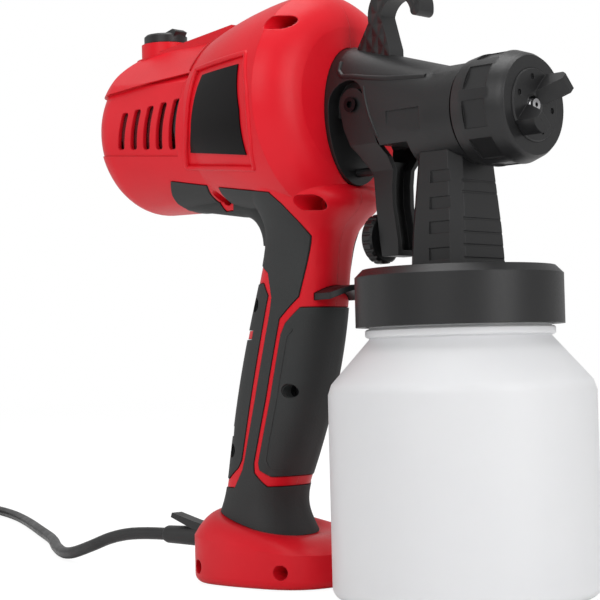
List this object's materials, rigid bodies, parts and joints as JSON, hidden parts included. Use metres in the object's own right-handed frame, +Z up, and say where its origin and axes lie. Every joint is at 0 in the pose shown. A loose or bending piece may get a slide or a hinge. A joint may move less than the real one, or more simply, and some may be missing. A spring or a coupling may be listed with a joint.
{
  "type": "hand-held paint sprayer",
  "caption": "Electric turbine paint sprayer with a pistol handle, a trigger, a spray head with a turnable air cap, and a screw-on cup below, with its mains lead.",
  "frame": {"origin": "centre of the cup's base, on the surface that the sprayer stands on", "axes": "+X is the spray direction, +Z is up, +Y is the user's left"},
  "size_m": [0.6691, 0.2372, 0.2424],
  "materials": {
    "red_abs": "fine satin moulded ABS",
    "grip_rubber": "matt soft overmould",
    "label_film": "bare black film",
    "black_nylon": "satin moulded glass-filled nylon",
    "cup_polythene": "translucent blow-moulded polythene",
    "clear_plastic": "natural moulded polythene",
    "seal_rubber": "moulded seal",
    "zinc_steel": "zinc plated",
    "stainless_steel": "ground and polished",
    "turned_aluminium": "turned",
    "turned_brass": "turned",
    "plated_pins": "nickel plated",
    "core_steel": "stacked laminations",
    "copper_wire": "enamelled copper",
    "inner_plastic": "moulded",
    "board": "circuit board",
    "carbon": "pressed carbon",
    "filter_foam": "open foam",
    "cord_pvc": "smooth flexible PVC"
  },
  "bodies": {
    "sprayer": {"housing_right": "red_abs", "housing_left": "red_abs", "grip_right": "grip_rubber", "grip_left": "grip_rubber", "label_plate": "label_film", "housing_screws": "zinc_steel", "finger_rest": "black_nylon", "dial_potentiometer": "inner_plastic", "speed_board": "board", "motor_stator": "core_steel", "field_coils": "copper_wire", "rear_bearing": "stainless_steel", "front_bearing": "stainless_steel", "front_bracket": "turned_aluminium", "rear_bracket": "inner_plastic", "stator_ring": "inner_plastic", "carbon_brushes": "carbon", "brush_holders": "turned_brass", "fan_shroud": "inner_plastic", "intake_filters": "filter_foam", "microswitch": "inner_plastic", "capacitor": "inner_plastic", "cord_clamp": "inner_plastic", "clamp_screws": "zinc_steel", "clamp_base": "inner_plastic", "inner_lead": "cord_pvc", "cord_sleeve": "cord_pvc", "cord": "cord_pvc", "cord_coil": "cord_pvc", "cord_tail": "cord_pvc", "cord_tie": "cord_pvc", "plug_body": "cord_pvc", "plug_pins": "plated_pins", "gun_body": "black_nylon", "feed_neck": "black_nylon", "gun_screws": "zinc_steel", "hanging_hook": "black_nylon", "container_lid": "black_nylon", "suction_tube": "clear_plastic", "strainer": "clear_plastic", "nut_seal_ring": "seal_rubber", "fluid_nozzle": "turned_aluminium", "packing_nut": "turned_brass", "spring_cup": "turned_brass", "needle_spring": "stainless_steel", "trigger_pin": "zinc_steel"},
    "trigger": {"trigger": "black_nylon"},
    "flow_knob": {"flow_knob": "black_nylon"},
    "needle": {"needle": "stainless_steel"},
    "switch_plunger": {"switch_plunger": "black_nylon"},
    "air_dial": {"air_dial": "black_nylon"},
    "air_cap": {"air_cap": "black_nylon"},
    "union_nut": {"union_nut": "black_nylon"},
    "lid_gasket": {"lid_gasket": "seal_rubber"},
    "container": {"container": "cup_polythene"},
    "rotor": {"armature": "core_steel", "commutator": "copper_wire", "motor_shaft": "stainless_steel", "impeller": "inner_plastic", "impeller_nut": "stainless_steel"}
  },
  "joints": [
    {"name": "trigger_pull", "type": "hinge", "parent": "sprayer", "child": "trigger", "pos_m": [-0.04, 0, 0.1924], "axis": [0, 1, 0], "range_deg": [0, 7], "stiffness_Nm_per_rad": 2, "springref_deg": -6.88},
    {"name": "needle_slide", "type": "slide", "parent": "sprayer", "child": "needle", "axis": [-1, 0, 0], "range_m": [0, 0.0011], "deforming": ["needle_spring"]},
    {"name": "switch_press", "type": "slide", "parent": "sprayer", "child": "switch_plunger", "axis": [-1, 0, 0], "range_m": [0, 0.0034]},
    {"name": "flow_knob_turn", "type": "hinge", "parent": "trigger", "child": "flow_knob", "pos_m": [-0.0387, 0, 0.1395], "axis": [1, 0, 0], "range_deg": [-360, 360]},
    {"name": "air_cap_turn", "type": "hinge", "parent": "sprayer", "child": "air_cap", "pos_m": [0.036, 0, 0.1845], "axis": [1, 0, 0], "range_deg": [-45, 45]},
    {"name": "union_nut_turn", "type": "hinge", "parent": "sprayer", "child": "union_nut", "pos_m": [0.026, 0, 0.1845], "axis": [1, 0, 0], "continuous": true},
    {"name": "air_dial_turn", "type": "hinge", "parent": "sprayer", "child": "air_dial", "pos_m": [-0.1635, 0, 0.237], "axis": [0, 0, 1], "range_deg": [-135, 135]},
    {"name": "container_drop", "type": "slide", "parent": "sprayer", "child": "lid_gasket", "axis": [0, 0, -1], "range_m": [0, 0.125]},
    {"name": "container_unscrew", "type": "hinge", "parent": "lid_gasket", "child": "container", "pos_m": [0, 0, 0.11], "axis": [0, 0, 1], "range_deg": [0, 450]},
    {"name": "rotor_spin", "type": "hinge", "parent": "sprayer", "child": "rotor", "pos_m": [-0.12, 0, 0.195], "axis": [1, 0, 0], "continuous": true}
  ],
  "couplings": [
    {"joint": "needle_slide", "follows": "trigger_pull", "m_per_rad": 0.0079},
    {"joint": "switch_press", "follows": "trigger_pull", "m_per_rad": 0.0254}
  ]
}
